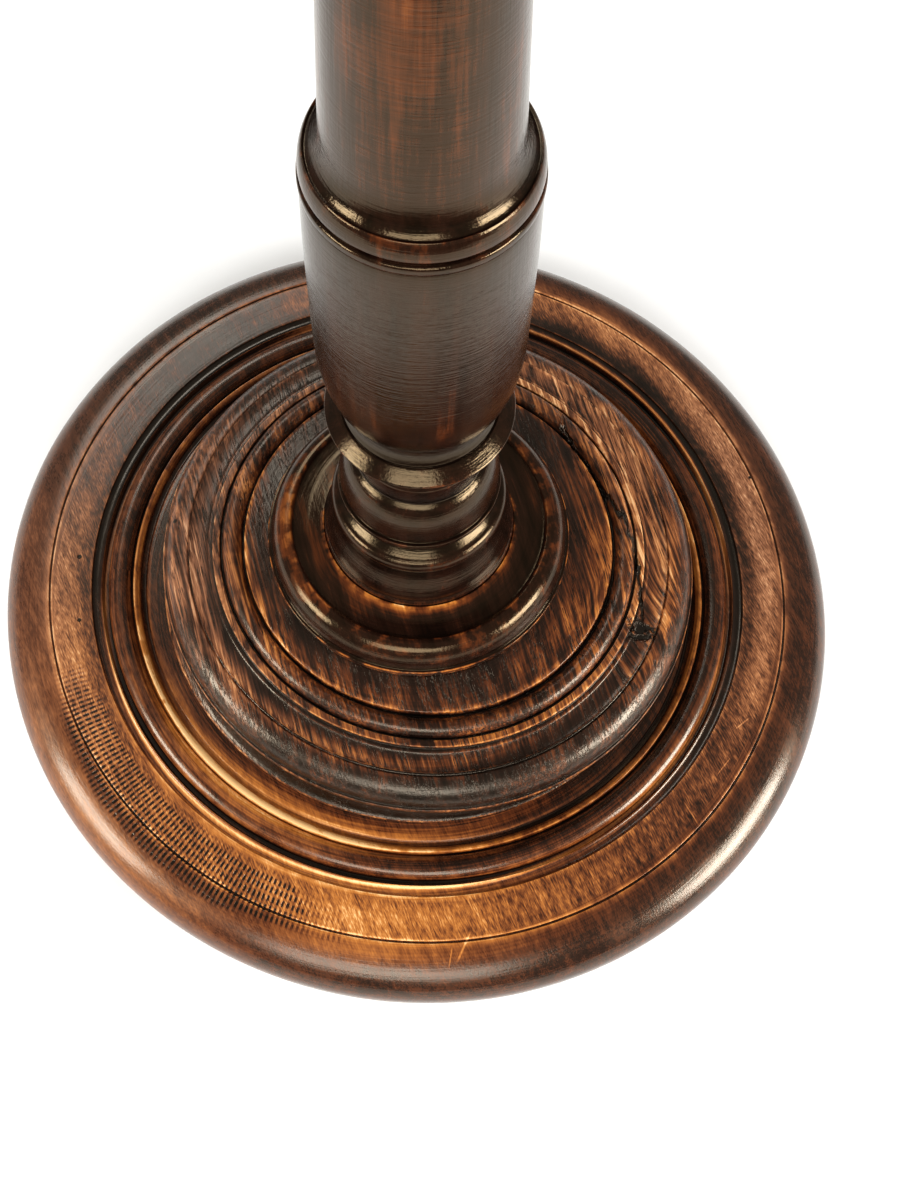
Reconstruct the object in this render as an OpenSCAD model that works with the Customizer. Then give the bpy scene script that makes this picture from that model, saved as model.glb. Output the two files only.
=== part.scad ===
// Large turned wooden candlestick, built up from separate turned pieces.
// The axis of every turned piece is the Z axis; z = 0 is the table it stands on.

/* [Stem] */
// Diameter of the foot where the stem stands on the boss
foot_d = 64.8; // [50:0.1:90]
// Widest diameter of the vase
vase_d = 56.8; // [44:0.1:70]
// Diameter of the narrow neck under the knop
neck_d = 38; // [34:0.1:44]
// Widest diameter of the knop
knop_d = 56; // [46:0.1:70]
// Height of the foot mouldings, from the boss to the top of the bell
foot_h = 60; // [50:1:80]
// Height of the neck and knop together
knop_h = 28.6; // [22:0.1:40]
// Height of the vase, from the knop to the collar joint
vase_h = 92.5; // [60:0.5:200]
// Height of the upper shaft, from the collar joint to its shoulder
shaft_h = 225.4; // [120:1:500]
// Diameter of the shaft just above the collar
shaft_d = 45; // [36:0.1:52]
// Diameter of the shaft at its upper shoulder
shaft_top_d = 33; // [28:0.1:40]

/* [Base] */
// Thickness of the plinth disc at its flat
plinth_t = 27; // [22:0.5:40]
// Width of the rounded outer edge of the plinth
roll_w = 20.2; // [14:0.1:28]
// Width of the plain flat of the plinth
flat_w = 15; // [8:0.5:60]
// Width of the hollow inside that flat
hollow_w = 3.8; // [2:0.1:6]
// Width of the dark groove beside the bead
groove_w = 2.3; // [1.5:0.1:4]
// Width of the bead on the plinth
bead_w = 8.4; // [6:0.1:14]
// Width of the sunk flat that the stepped disc stands on, as seen around it
ledge_w = 10.5; // [8:0.1:20]
// Depth of the sunk flat below the plinth's main flat
ledge_drop = 2.5; // [1:0.1:4]
// Width of the ring under the plinth that touches the table
standing_w = 24; // [15:1:32]
// Depth of the recess under the plinth
recess_h = 5; // [3:0.5:8]

/* [Stepped disc] */
// Width of the large ovolo
ovolo_w = 18.4; // [10:0.1:30]
// Height of the large ovolo
ovolo_h = 10.6; // [6:0.1:20]
// Height of the upright hollow below the ovolo
upright_h = 21; // [12:0.5:40]
// Width of the fillet above the ovolo
fillet_w = 3.2; // [2:0.1:6]
// Diameter of the small bead round the step
step_bead_d = 7; // [5:0.1:12]
// Height of the step inside the small bead
step_h = 2.6; // [1.5:0.1:6]
// Width of the sloping flat round the boss
shelf_w = 12; // [6:0.1:30]
// Rise of that flat towards the boss
shelf_rise = 2.8; // [0:0.1:5]

/* [Boss] */
// Width of the rounded edge of the boss
boss_edge_w = 8.6; // [5:0.1:14]
// Height of the rounded edge of the boss
boss_edge_h = 9.6; // [5:0.1:16]
// Height of the plain fillet below that edge
boss_fillet_h = 3.8; // [2:0.1:6]
// Width of the dished top, from the stem's foot to the edge
dish_w = 11.8; // [8:0.1:30]
// Rise of the dished top from its edge to the stem's foot
foot_rise = 0.6; // [-1:0.1:3]

/* [Top] */
// Height of the capital
capital_h = 60; // [44:1:90]
// Diameter of the drip pan
pan_d = 118; // [96:1:160]
// Depth of the drip pan's hollow
pan_depth = 7; // [5.5:0.5:9]
// Height of the candle cup above the pan
cup_h = 50; // [42:1:70]
// Widest diameter of the candle cup
cup_d = 46; // [42:0.5:60]
// Diameter of the candle
candle_d = 22.2; // [19:0.1:25]
// Depth of the candle hole
candle_h = 30; // [20:1:34]

/* [Joinery] */
// Diameter of the stem's tenon through the base
base_tenon_d = 30; // [24:0.5:34]
// Diameter of the shaft's tenon at the collar
collar_tenon_d = 25; // [20:0.5:30]
// Length of the shaft's tenon at the collar
collar_tenon_l = 32; // [20:1:40]
// Diameter of the shaft's upper tenon
top_tenon_d = 19; // [16:0.5:22]
// Length of the shaft's upper tenon
top_tenon_l = 24; // [16:1:28]
// Diameter of the candle cup's tenon
cup_tenon_d = 18; // [14:0.5:22]
// Length of the candle cup's tenon below the pan
cup_tenon_l = 18; // [12:1:20]
// Depth to which each disc is let into the one below
let_in = 3; // [2:0.5:4]
// Depth to which the stem's foot is let into the boss
foot_let_in = 2; // [1:0.5:4]
// Diameter of the base screws over the thread
screw_d = 4.5; // [3.5:0.1:6]
// Length of the base screws
screw_l = 38; // [30:1:45]
// Number of base screws
screw_n = 4; // [3:1:6]
// Diameter of the boss dowels
dowel_d = 8; // [6:0.5:9]
// Length of the boss dowels
dowel_l = 20; // [14:1:24]
// Number of boss dowels
dowel_n = 3; // [3:1:5]
// Radial clearance of round tenons, dowels and screws in their holes
slip = 0.15; // [0.1:0.05:0.3]

/* [Hidden] */
$fn = 96;
arc_steps = 10;

// Radii of the base, worked outwards from the stem's foot
foot_r = foot_d / 2;
dish_r = foot_r + dish_w;
boss_r = dish_r + boss_edge_w;
shelf_r = boss_r + shelf_w;
step_bead_r = shelf_r + 1.2 + step_bead_d / 2;
fillet_r = step_bead_r + step_bead_d / 2 + 0.9;
ovolo_in_r = fillet_r + fillet_w;
ovolo_r = ovolo_in_r + ovolo_w;
ledge_r = ovolo_r + ledge_w;
bead_r = ledge_r + 1 + bead_w / 2;
groove_r = ledge_r + 1 + bead_w;
hollow_r = groove_r + groove_w;
flat_r = hollow_r + hollow_w;
roll_r = flat_r + flat_w;
base_r = roll_r + roll_w;

// Heights of the base, worked upwards from the table
ledge_z = plinth_t - ledge_drop;
ovolo_z = ledge_z + upright_h;
fillet_z = ovolo_z + ovolo_h;
shelf_z = fillet_z + step_h;
shelf_top_z = shelf_z + shelf_rise;
boss_edge_z = shelf_top_z + boss_fillet_h;
dish_z = boss_edge_z + boss_edge_h;
foot_z = dish_z + foot_rise;

// Heights of the stem and the top
neck_z = foot_z + foot_h;
vase_z = neck_z + knop_h;
collar_z = vase_z + vase_h;
shoulder_z = collar_z + shaft_h;
pan_z = shoulder_z + capital_h;
pan_t = 8;
cup_z = pan_z + pan_t;
cup_top_z = cup_z + cup_h;

// Brass liner of the candle cup
liner_wall = 1.2;
liner_fit = 0.3;
candle_r = candle_d / 2 + 0.3;
liner_r = candle_r + liner_wall;
flange_r = liner_r + 4;
flange_t = 1.2;

// Screws and wedge
screw_r = (boss_r + ovolo_in_r) / 2 + 4;
screw_head_d = 2 * screw_d;
screw_head_h = screw_d * 0.6;
wedge_w = base_tenon_d * 0.8;
wedge_t = 4;
wedge_l = 20;
wedge_gap = 0.05;
dowel_r = foot_r + dish_w * 0.55;
dowel_up = dowel_l * 0.45;
dowel_z = shelf_top_z - let_in + dowel_up - dowel_l;
dowel_turn = 30;

// Joints between the discs
tenon_hole_r = base_tenon_d / 2 + slip;
spigot_inset = 4;
boss_spigot_r = dish_r + boss_edge_w / 2;
cut_over = 0.01;

// Points along an elliptical arc with its centre at [x, z], from angle a0 to angle a1
function arc(x, z, rx, rz, a0, a1, n = arc_steps) =
    [for (i = [0:n]) let (a = a0 + (a1 - a0) * i / n) [x + rx * cos(a), z + rz * sin(a)]];

// Points along a smooth S-curve between two points that leaves and arrives upright
function ogee(p, q, n = arc_steps) =
    [for (i = [0:n]) let (t = i / n, s = (1 - cos(180 * t)) / 2)
        [p[0] + (q[0] - p[0]) * s, p[1] + (q[1] - p[1]) * t]];

// A turned solid from the outline of one half of its section
module turned(points) {
    rotate_extrude() polygon(points);
}

// A round hole along Z
module bore(d, z0, z1) {
    translate([0, 0, z0]) cylinder(d = d, h = z1 - z0);
}

// Copies of a child evenly spaced on a circle
module ring_of(n, r, turn = 0) {
    for (i = [0:n - 1]) rotate(turn + i * 360 / n) translate([r, 0, 0]) children();
}

// Bottom disc: rounded edge, scribed line, flat, hollow, groove, bead and sunk ledge
module plinth_disc() {
    scribe_w = 0.7;
    scribe_depth = 0.9;
    edge_z = plinth_t * 0.5;
    tuck = 4;
    hollow_depth = 1.1;
    groove_z = plinth_t - 3;
    arris_w = 0.5;
    bead_z = plinth_t - 1.8;
    bead_h = 3.2;
    lip_w = 0.8;
    cove_w = 2.4;
    quirk_w = 0.6;
    quirk_r = ledge_r - 4;
    socket_r = ovolo_r - spigot_inset + slip;
    color("sienna") difference() {
        turned(concat(
            [[tenon_hole_r, recess_h], [base_r - standing_w, recess_h], [base_r - standing_w, 0]],
            arc(base_r - tuck, edge_z, tuck, edge_z, -90, 0),
            arc(roll_r + scribe_w, edge_z, roll_w - scribe_w, plinth_t - edge_z, 0, 90),
            [[roll_r + scribe_w, plinth_t - scribe_depth], [roll_r, plinth_t - scribe_depth]],
            [[roll_r, plinth_t]],
            [[flat_r, plinth_t]],
            arc((flat_r + hollow_r) / 2, plinth_t, hollow_w / 2, hollow_depth, 0, -180),
            [[hollow_r, plinth_t], [hollow_r - arris_w, groove_z], [groove_r, groove_z]],
            arc(bead_r, bead_z, bead_w / 2, bead_h, 0, 180),
            [[ledge_r + lip_w, bead_z], [ledge_r, plinth_t]],
            arc(ledge_r, ledge_z, cove_w, ledge_drop, 90, 180),
            [[quirk_r, ledge_z - quirk_w], [quirk_r - quirk_w, ledge_z]],
            [[socket_r, ledge_z], [socket_r, ledge_z - let_in], [tenon_hole_r, ledge_z - let_in]]
        ));
        ring_of(screw_n, screw_r) screw_hole(recess_h, ledge_z);
    }
}

// Countersunk clearance hole for one base screw
module screw_hole(z0, z1) {
    translate([0, 0, z0 - cut_over])
        cylinder(d1 = screw_head_d + 2 * slip, d2 = screw_d + 2 * slip, h = screw_head_h);
    bore(screw_d + 2 * slip, z0 - cut_over, z1);
}

// Oak disc let into the plinth: upright hollow, ovolo with a cove over it, fillet, bead and sloping shelf
module stepped_disc() {
    seat_z = ledge_z - let_in;
    spigot_r = ovolo_r - spigot_inset;
    socket_r = boss_spigot_r + slip;
    hollow_depth = 3;
    hollow_h = (upright_h - 4) / 2;
    hollow_z = ledge_z + 1.2 + hollow_h;
    band_r = ovolo_r + 0.2;
    band_h = 2.4;
    roll_in_r = ovolo_r - ovolo_w * 0.52;
    roll_h = ovolo_h * 0.75;
    cove_dip = 0.7;
    quirk_w = 0.6;
    ridge_z = fillet_z + 0.7;
    quirk_z = fillet_z - 1;
    color("peru") difference() {
        turned(concat(
            [[tenon_hole_r, seat_z], [spigot_r, seat_z], [spigot_r, ledge_z], [ovolo_r - 0.5, ledge_z]],
            arc(ovolo_r - 0.5, hollow_z, hollow_depth, hollow_h, -90, -270),
            [[band_r, ovolo_z - band_h - 0.4], [band_r, ovolo_z - 0.4], [band_r - 1, ovolo_z - 0.4]],
            arc(roll_in_r, ovolo_z, band_r - 1 - roll_in_r, roll_h, 0, 90),
            [[roll_in_r - quirk_w, ovolo_z + roll_h - quirk_w], [roll_in_r - 2 * quirk_w, ovolo_z + roll_h]],
            arc((roll_in_r + ovolo_in_r) / 2, quirk_z, (roll_in_r - ovolo_in_r) / 2 - 1, cove_dip, 0, -180),
            [[ovolo_in_r, quirk_z], [ovolo_in_r - quirk_w, quirk_z], [ovolo_in_r - quirk_w, ridge_z]],
            [[fillet_r, ridge_z], [fillet_r, quirk_z], [step_bead_r + step_bead_d / 2, quirk_z]],
            arc(step_bead_r, fillet_z, step_bead_d / 2, step_bead_d / 2, 0, 180),
            [[shelf_r + quirk_w, fillet_z], [shelf_r, shelf_z], [socket_r, shelf_top_z]],
            [[socket_r, shelf_top_z - let_in], [tenon_hole_r, shelf_top_z - let_in]]
        ));
        ring_of(screw_n, screw_r) bore(screw_d + 2 * slip, 0, recess_h + screw_l + 1);
        ring_of(dowel_n, dowel_r, dowel_turn) bore(dowel_d + 2 * slip, dowel_z - 1, dish_z);
    }
}

// Boss let into the stepped disc: fillet, bold rounded edge and a dished top that takes the stem's foot
module boss_disc() {
    seat_z = shelf_top_z - let_in;
    quirk_w = 1.2;
    quirk_h = 0.8;
    edge_in_r = dish_r + 0.6;
    dip = 1;
    color("#3a2118") difference() {
        turned(concat(
            [[tenon_hole_r, seat_z], [boss_spigot_r, seat_z], [boss_spigot_r, shelf_top_z]],
            [[boss_r - quirk_w, shelf_top_z], [boss_r - quirk_w, shelf_top_z + quirk_h]],
            [[boss_r, shelf_top_z + quirk_h], [boss_r, boss_edge_z], [boss_r - quirk_w, boss_edge_z]],
            arc(edge_in_r, boss_edge_z, boss_r - quirk_w - edge_in_r, boss_edge_h, 0, 90),
            [[dish_r, dish_z], [dish_r - dip, dish_z - dip], [(dish_r + foot_r) / 2, dish_z - dip]],
            [[foot_r + slip, foot_z], [foot_r + slip, foot_z - foot_let_in]],
            [[tenon_hole_r, foot_z - foot_let_in]]
        ));
        ring_of(dowel_n, dowel_r, dowel_turn) bore(dowel_d + 2 * slip, seat_z - 1, seat_z + dowel_up + 1);
    }
}

// Lower stem: through tenon, foot, ring, bell, neck, knop and vase, bored at the top for the shaft
module baluster() {
    foot_edge_h = 1.6;
    quirk = 0.8;
    ring_z = foot_z + foot_h * 0.35;
    ring_r = foot_r * 0.89;
    ring_h = 3.4;
    hollow_z = ring_z + 8;
    bell_z = foot_z + foot_h * 0.535;
    bell_r = foot_r * 0.81;
    bell_in_r = bell_r - 1.4;
    bell_h = (neck_z - bell_z) * 0.58;
    neck_r = neck_d / 2;
    neck_hollow_h = knop_h * 0.3;
    knop_r = knop_d / 2;
    knop_in_r = knop_r - 4.6;
    knop_edge_z = neck_z + knop_h * 0.63;
    knop_top_z = knop_edge_z + 3.5;
    vase_r = vase_d / 2;
    vase_tuck = 6.9;
    throat_r = vase_r - vase_tuck;
    belly_z = vase_z + vase_h * 0.3;
    rim_w = 0.6;
    color("#2c1a14") difference() {
        turned(concat(
            [[0, recess_h], [base_tenon_d / 2, recess_h], [base_tenon_d / 2, foot_z - foot_let_in]],
            [[foot_r, foot_z - foot_let_in], [foot_r, foot_z + foot_edge_h]],
            ogee([foot_r - quirk, foot_z + foot_edge_h + quirk], [ring_r - 1, ring_z - ring_h]),
            arc(ring_r - 3, ring_z, 3, ring_h, -60, 80),
            arc(ring_r - 0.5, hollow_z, 5.5, 4.2, 225, 150, 6),
            [[bell_r, bell_z], [bell_r, bell_z + 2], [bell_in_r, bell_z + 2], [bell_in_r, bell_z + 4]],
            arc(neck_r, bell_z + 4, bell_in_r - neck_r + 0.8, bell_h, 0, 80),
            arc(neck_r + 4, neck_z + neck_hollow_h, 4.5, neck_hollow_h, 240, 130),
            [[knop_r - 1.4, knop_edge_z - 1.6], [knop_r, knop_edge_z]],
            [[knop_in_r, knop_top_z], [knop_in_r - quirk / 2, knop_top_z - quirk / 2]],
            arc(throat_r + 2, vase_z - 0.5, 2, vase_z - 0.5 - knop_top_z, 250, 180, 8),
            [[throat_r, vase_z], [throat_r + quirk, vase_z + quirk]],
            arc(throat_r, belly_z, vase_tuck, belly_z - vase_z - 2, -80, 0),
            arc(vase_r - 2 * rim_w, belly_z, 2 * rim_w, collar_z - 3 - belly_z, 0, 90),
            [[vase_r - rim_w, collar_z - 2.6], [vase_r - rim_w, collar_z - rim_w]],
            [[vase_r - 2 * rim_w, collar_z]],
            [[0, collar_z]]
        ));
        bore(collar_tenon_d + 2 * slip, collar_z - collar_tenon_l - 2, collar_z + 1);
        wedge_shape(wedge_gap);
    }
}

// Upper stem: tenon, rounded collar lip, cove, and the shaft with its long taper up to its second tenon
module upper_shaft() {
    lip_r = vase_d / 2 - 1;
    quirk = 0.8;
    lip_h = 6;
    lip_w = 1.9;
    cove_h = 9;
    low_r = shaft_d / 2 - 0.4;
    top_r = shaft_top_d / 2;
    chamfer = 1;
    sweep_n = 24;
    lip_z = collar_z + quirk;
    cove_z = lip_z + lip_h;
    start_z = cove_z + cove_h;
    sweep = [for (i = [0:sweep_n]) let (t = i / sweep_n)
        [top_r + (low_r - top_r) * pow(1 - t, 2), start_z + (shoulder_z - start_z) * t]];
    color("#33201a") turned(concat(
        [[0, collar_z - collar_tenon_l], [collar_tenon_d / 2 - chamfer, collar_z - collar_tenon_l]],
        [[collar_tenon_d / 2, collar_z - collar_tenon_l + chamfer], [collar_tenon_d / 2, collar_z]],
        [[lip_r - quirk, collar_z], [lip_r - quirk, lip_z]],
        arc(lip_r - lip_w, lip_z, lip_w, lip_h, 5, 75),
        arc(lip_r - lip_w * 0.6 + 0.3, start_z, lip_r - lip_w * 0.6 + 0.3 - low_r, cove_h + 1, 255, 180),
        sweep,
        [[top_tenon_d / 2, shoulder_z], [top_tenon_d / 2, shoulder_z + top_tenon_l - chamfer]],
        [[top_tenon_d / 2 - chamfer, shoulder_z + top_tenon_l], [0, shoulder_z + top_tenon_l]]
    ));
}

// Wedge driven up into the saw cut in the tenon's lower end
module wedge_shape(gap = 0) {
    translate([0, wedge_w / 2 + gap, recess_h]) rotate([90, 0, 0]) linear_extrude(wedge_w + 2 * gap) polygon([
        [-wedge_t / 2 - gap, -1], [wedge_t / 2 + gap, -1],
        [wedge_t / 4 + gap, wedge_l + gap], [-wedge_t / 4 - gap, wedge_l + gap]
    ]);
}

module tenon_wedge() {
    color("tan") wedge_shape();
}

// One countersunk wood screw, head down, with its slot and a ridged thread that ends in a point
module base_screw() {
    pitch = 2;
    turns = floor((screw_l * 0.6) / pitch);
    plain_z = screw_l - turns * pitch - 3;
    core_r = screw_d / 2 * 0.72;
    color("gray") translate([0, 0, recess_h]) difference() {
        turned(concat(
            [[0, 0], [screw_head_d / 2 - 0.1, 0], [screw_d / 2, screw_head_h], [screw_d / 2, plain_z]],
            [for (i = [0:turns - 1]) each [
                [core_r, plain_z + i * pitch + pitch * 0.3], [screw_d / 2, plain_z + (i + 0.75) * pitch]]],
            [[core_r, screw_l - 3], [0, screw_l]]
        ));
        translate([0, 0, 0.5]) cube([screw_head_d + 1, 1, 1.2], center = true);
    }
}

module base_screws() {
    ring_of(screw_n, screw_r) base_screw();
}

// Glued dowels that pin the boss to the stepped disc
module boss_dowels() {
    chamfer = 0.8;
    color("burlywood") ring_of(dowel_n, dowel_r, dowel_turn) translate([0, 0, dowel_z]) turned([
        [0, 0], [dowel_d / 2 - chamfer, 0], [dowel_d / 2, chamfer], [dowel_d / 2, dowel_l - chamfer],
        [dowel_d / 2 - chamfer, dowel_l], [0, dowel_l]
    ]);
}

// Turned top of the stem: ring, short swelling, and a flare that carries the pan
module capital() {
    neck_r = shaft_top_d / 2;
    wide_r = pan_d * 0.24;
    swell_z = shoulder_z + capital_h * 0.36;
    flare_z = shoulder_z + capital_h * 0.6;
    color("#33201a") difference() {
        turned(concat(
            [[0, shoulder_z], [neck_r, shoulder_z], [neck_r, shoulder_z + 1]],
            arc(neck_r + 1, shoulder_z + 5, 4, 4, -90, 90),
            [[neck_r, shoulder_z + 9], [neck_r, shoulder_z + 11]],
            arc(neck_r + 0.5, swell_z + 2, 6, swell_z - shoulder_z - 9, -80, 75),
            [[neck_r + 1, flare_z], [neck_r + 2.4, flare_z], [neck_r + 2.4, flare_z + 2]],
            arc(wide_r, flare_z + 3, wide_r - neck_r - 1.4, pan_z - flare_z - 6, 180, 90),
            [[wide_r + 0.8, pan_z - 3], [wide_r + 0.8, pan_z], [0, pan_z]]
        ));
        bore(top_tenon_d + 2 * slip, shoulder_z - 1, shoulder_z + top_tenon_l + 1);
        bore(cup_tenon_d + 2 * slip, pan_z - cup_tenon_l - 1, pan_z + 1);
    }
}

// Turned saucer with a raised rim and a flat centre for the cup
module drip_pan() {
    pan_r = pan_d / 2;
    rim_z = pan_z + pan_t + pan_depth - 4;
    floor_z = rim_z - pan_depth;
    centre_r = cup_d / 2 - 1;
    color("#3a2118") turned(concat(
        [[cup_tenon_d / 2 + slip, pan_z], [pan_d * 0.3, pan_z]],
        arc(pan_d * 0.3, rim_z - 4, pan_r - 1 - pan_d * 0.3, rim_z - 4 - pan_z, -90, 0),
        arc(pan_r - 2, rim_z - 2, 2, 2, -60, 150),
        arc(pan_r - 16, rim_z - 1, 12, pan_depth - 1, 0, -90),
        [[centre_r + 2, floor_z]],
        [[centre_r, cup_z], [cup_tenon_d / 2 + slip, cup_z]]
    ));
}

// Turned candle cup: tenon, foot, waist, bowl and rim, counterbored for the brass liner
module candle_cup() {
    cup_r = cup_d / 2;
    waist_r = cup_tenon_d / 2 + 5;
    body_top_z = cup_top_z - flange_t;
    color("#2c1a14") difference() {
        turned(concat(
            [[0, pan_z - cup_tenon_l], [cup_tenon_d / 2 - 1, pan_z - cup_tenon_l]],
            [[cup_tenon_d / 2, pan_z - cup_tenon_l + 1], [cup_tenon_d / 2, cup_z], [cup_r - 3, cup_z]],
            arc(cup_r - 4, cup_z + 2.5, 2.5, 2.5, -60, 90),
            arc(waist_r + 3.4, cup_z + 9, 3.4, 4, 250, 110),
            arc(waist_r, cup_z + cup_h * 0.5, cup_r - waist_r - 0.8, cup_h * 0.22, -70, 60),
            ogee([cup_r - 5.2, cup_z + cup_h * 0.71], [cup_r - 3.4, body_top_z - 5]),
            arc(cup_r - 3, body_top_z - 2.5, 2.5, 2.5, -80, 90),
            [[0, body_top_z]]
        ));
        bore(2 * liner_r + liner_fit, cup_top_z - candle_h - liner_wall - 0.5, cup_top_z);
    }
}

// Flanged brass sleeve with a closed bottom
module cup_liner() {
    bottom_z = cup_top_z - candle_h - liner_wall;
    color("darkgoldenrod") turned([
        [0, bottom_z], [liner_r, bottom_z], [liner_r, cup_top_z - flange_t], [flange_r, cup_top_z - flange_t],
        [flange_r, cup_top_z - 0.4], [flange_r - 0.4, cup_top_z], [candle_r, cup_top_z],
        [candle_r, cup_top_z - candle_h], [0, cup_top_z - candle_h]
    ]);
}

plinth_disc();
stepped_disc();
boss_disc();
baluster();
upper_shaft();
tenon_wedge();
base_screws();
boss_dowels();
capital();
drip_pan();
candle_cup();
cup_liner();
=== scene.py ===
import bpy
import numpy as np
from mathutils import Matrix, Vector


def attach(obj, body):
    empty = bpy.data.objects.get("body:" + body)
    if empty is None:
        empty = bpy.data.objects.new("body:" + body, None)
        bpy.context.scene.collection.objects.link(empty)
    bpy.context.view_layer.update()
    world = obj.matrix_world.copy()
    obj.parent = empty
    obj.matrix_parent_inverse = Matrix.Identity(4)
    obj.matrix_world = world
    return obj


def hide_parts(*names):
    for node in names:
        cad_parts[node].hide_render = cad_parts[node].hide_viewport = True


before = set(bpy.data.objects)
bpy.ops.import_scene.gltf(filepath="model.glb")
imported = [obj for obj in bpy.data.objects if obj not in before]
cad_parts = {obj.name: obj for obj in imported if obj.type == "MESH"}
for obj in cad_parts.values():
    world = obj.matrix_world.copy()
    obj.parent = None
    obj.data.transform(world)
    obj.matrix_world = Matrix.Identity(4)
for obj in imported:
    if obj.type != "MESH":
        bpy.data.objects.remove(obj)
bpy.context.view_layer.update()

# ---------------------------------------------------------------------------------------------
# Plinth disc. The bottom disc of the base, turned face-up from a close-grained, short-flecked
# wood, stained dark and waxed. A century of dusting has rubbed the stain back to honey on the
# flats and arrises; it has a sunk ledge, a bead, a groove, a wide flat and a rounded edge.

MM = 0.001
plinth_t = 27.0
recess_h = 5.0
slip = 0.15
tenon_hole_r = 15.0 + slip
spigot_r, spigot_z = 91.5, 21.5
standing_in_r = 132.7
ledge_r, ledge_z = 106.0, 24.5
bead_r, bead_w = 111.2, 8.4
groove_r, hollow_r, flat_r = 115.4, 117.7, 121.5
roll_r, base_r = 136.5, 155.5
shrunk = 0.0141
long_way = -32.2


def arc(x, z, rx, rz, a0, a1, n=14):
    """Points of the ellipse (x + rx cos a, z + rz sin a), with a going from a0 to a1 degrees."""
    a = np.radians(np.linspace(a0, a1, n + 1))
    return np.column_stack([x + rx * np.cos(a), z + rz * np.sin(a)])


def walked(outline, closed, ease, step, bend):
    """The outline with eased corners, walked from end to end.

    Each corner becomes the parabola that leaves one side `ease` before it and joins the next
    side `ease` after it. Points are then spaced so that none is further than `step` from the
    next and the line never turns more than `bend` degrees between two. Three measures go with
    each point: how far it stands out of the line averaged over 0.8 mm, which is large on an
    arris, how far it stands out of the line averaged over 2.5 mm, large on a swelling, and how
    far it lies inside that same line, large in a quirk."""
    p = np.vstack([np.asarray(part, float).reshape(-1, 2) for part in outline])
    p = p[np.r_[True, np.linalg.norm(np.diff(p, axis=0), axis=1) > 1e-4]]
    before = np.roll(p, 1, axis=0) if closed else np.vstack([p[:1], p[:-1]])
    after = np.roll(p, -1, axis=0) if closed else np.vstack([p[1:], p[-1:]])
    back = before - p
    ahead = after - p
    long_back = np.linalg.norm(back, axis=1, keepdims=True)
    long_ahead = np.linalg.norm(ahead, axis=1, keepdims=True)
    a = p + back * np.minimum(ease / np.maximum(long_back, 1e-9), 0.45)
    b = p + ahead * np.minimum(ease / np.maximum(long_ahead, 1e-9), 0.45)
    t = np.linspace(0.0, 1.0, 7)[None, :, None]
    eased = (1 - t) ** 2 * a[:, None] + 2 * t * (1 - t) * p[:, None] + t ** 2 * b[:, None]
    eased = eased.reshape(-1, 2)
    if closed:
        eased = np.vstack([eased, eased[:1]])
    run = np.r_[0.0, np.cumsum(np.linalg.norm(np.diff(eased, axis=0), axis=1))]
    fine = 0.05
    s = np.linspace(0.0, run[-1], int(run[-1] / fine) + 1)
    line = np.column_stack([np.interp(s, run, eased[:, 0]), np.interp(s, run, eased[:, 1])])
    along = np.gradient(line, s, axis=0)
    along /= np.maximum(np.linalg.norm(along, axis=1, keepdims=True), 1e-9)
    out = np.column_stack([along[:, 1], -along[:, 0]])

    def averaged(values, width):
        reach = int(3 * width / fine)
        bell = np.exp(-0.5 * (np.arange(-reach, reach + 1) * fine / width) ** 2)
        padded = np.pad(values, reach, mode="wrap" if closed else "edge")
        return np.convolve(padded, bell / bell.sum(), "valid")

    def stands_out(width):
        mean = np.column_stack([averaged(line[:, 0], width), averaged(line[:, 1], width)])
        return np.sum((line - mean) * out, axis=1)

    arris = np.clip(stands_out(0.8) / 0.28, 0.0, 1.0)
    swell = stands_out(2.5) / 0.8
    heading = np.unwrap(np.arctan2(along[:, 1], along[:, 0]))
    turning = averaged(np.abs(np.gradient(heading, s)), 0.15)
    weight = np.r_[0.0, np.cumsum((1.0 / step + turning / np.radians(bend)) * np.gradient(s))[1:]]
    places = np.interp(np.linspace(0.0, weight[-1], int(weight[-1]) + 2), weight, s)
    if closed:
        places = places[:-1]
    pick = [np.interp(places, s, v) for v in (line[:, 0], line[:, 1], arris, swell)]
    return np.column_stack(pick[:2]), pick[2], np.clip(pick[3], 0.0, 1.0), np.clip(-pick[3], 0.0, 1.0)


def patches(angle, radius, rest, spots):
    """How far the finish is rubbed through: `rest` plus a soft-edged spot for each row
    (azimuth, spread, radius, spread, strength), azimuths in degrees from +X."""
    total = np.full_like(angle, rest)
    for azimuth, wide, middle, deep, strength in spots:
        turn = (np.degrees(angle) - azimuth + 180.0) % 360.0 - 180.0
        total += strength * np.exp(-((turn / wide) ** 2) - ((radius - middle) / deep) ** 2)
    return total


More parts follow.
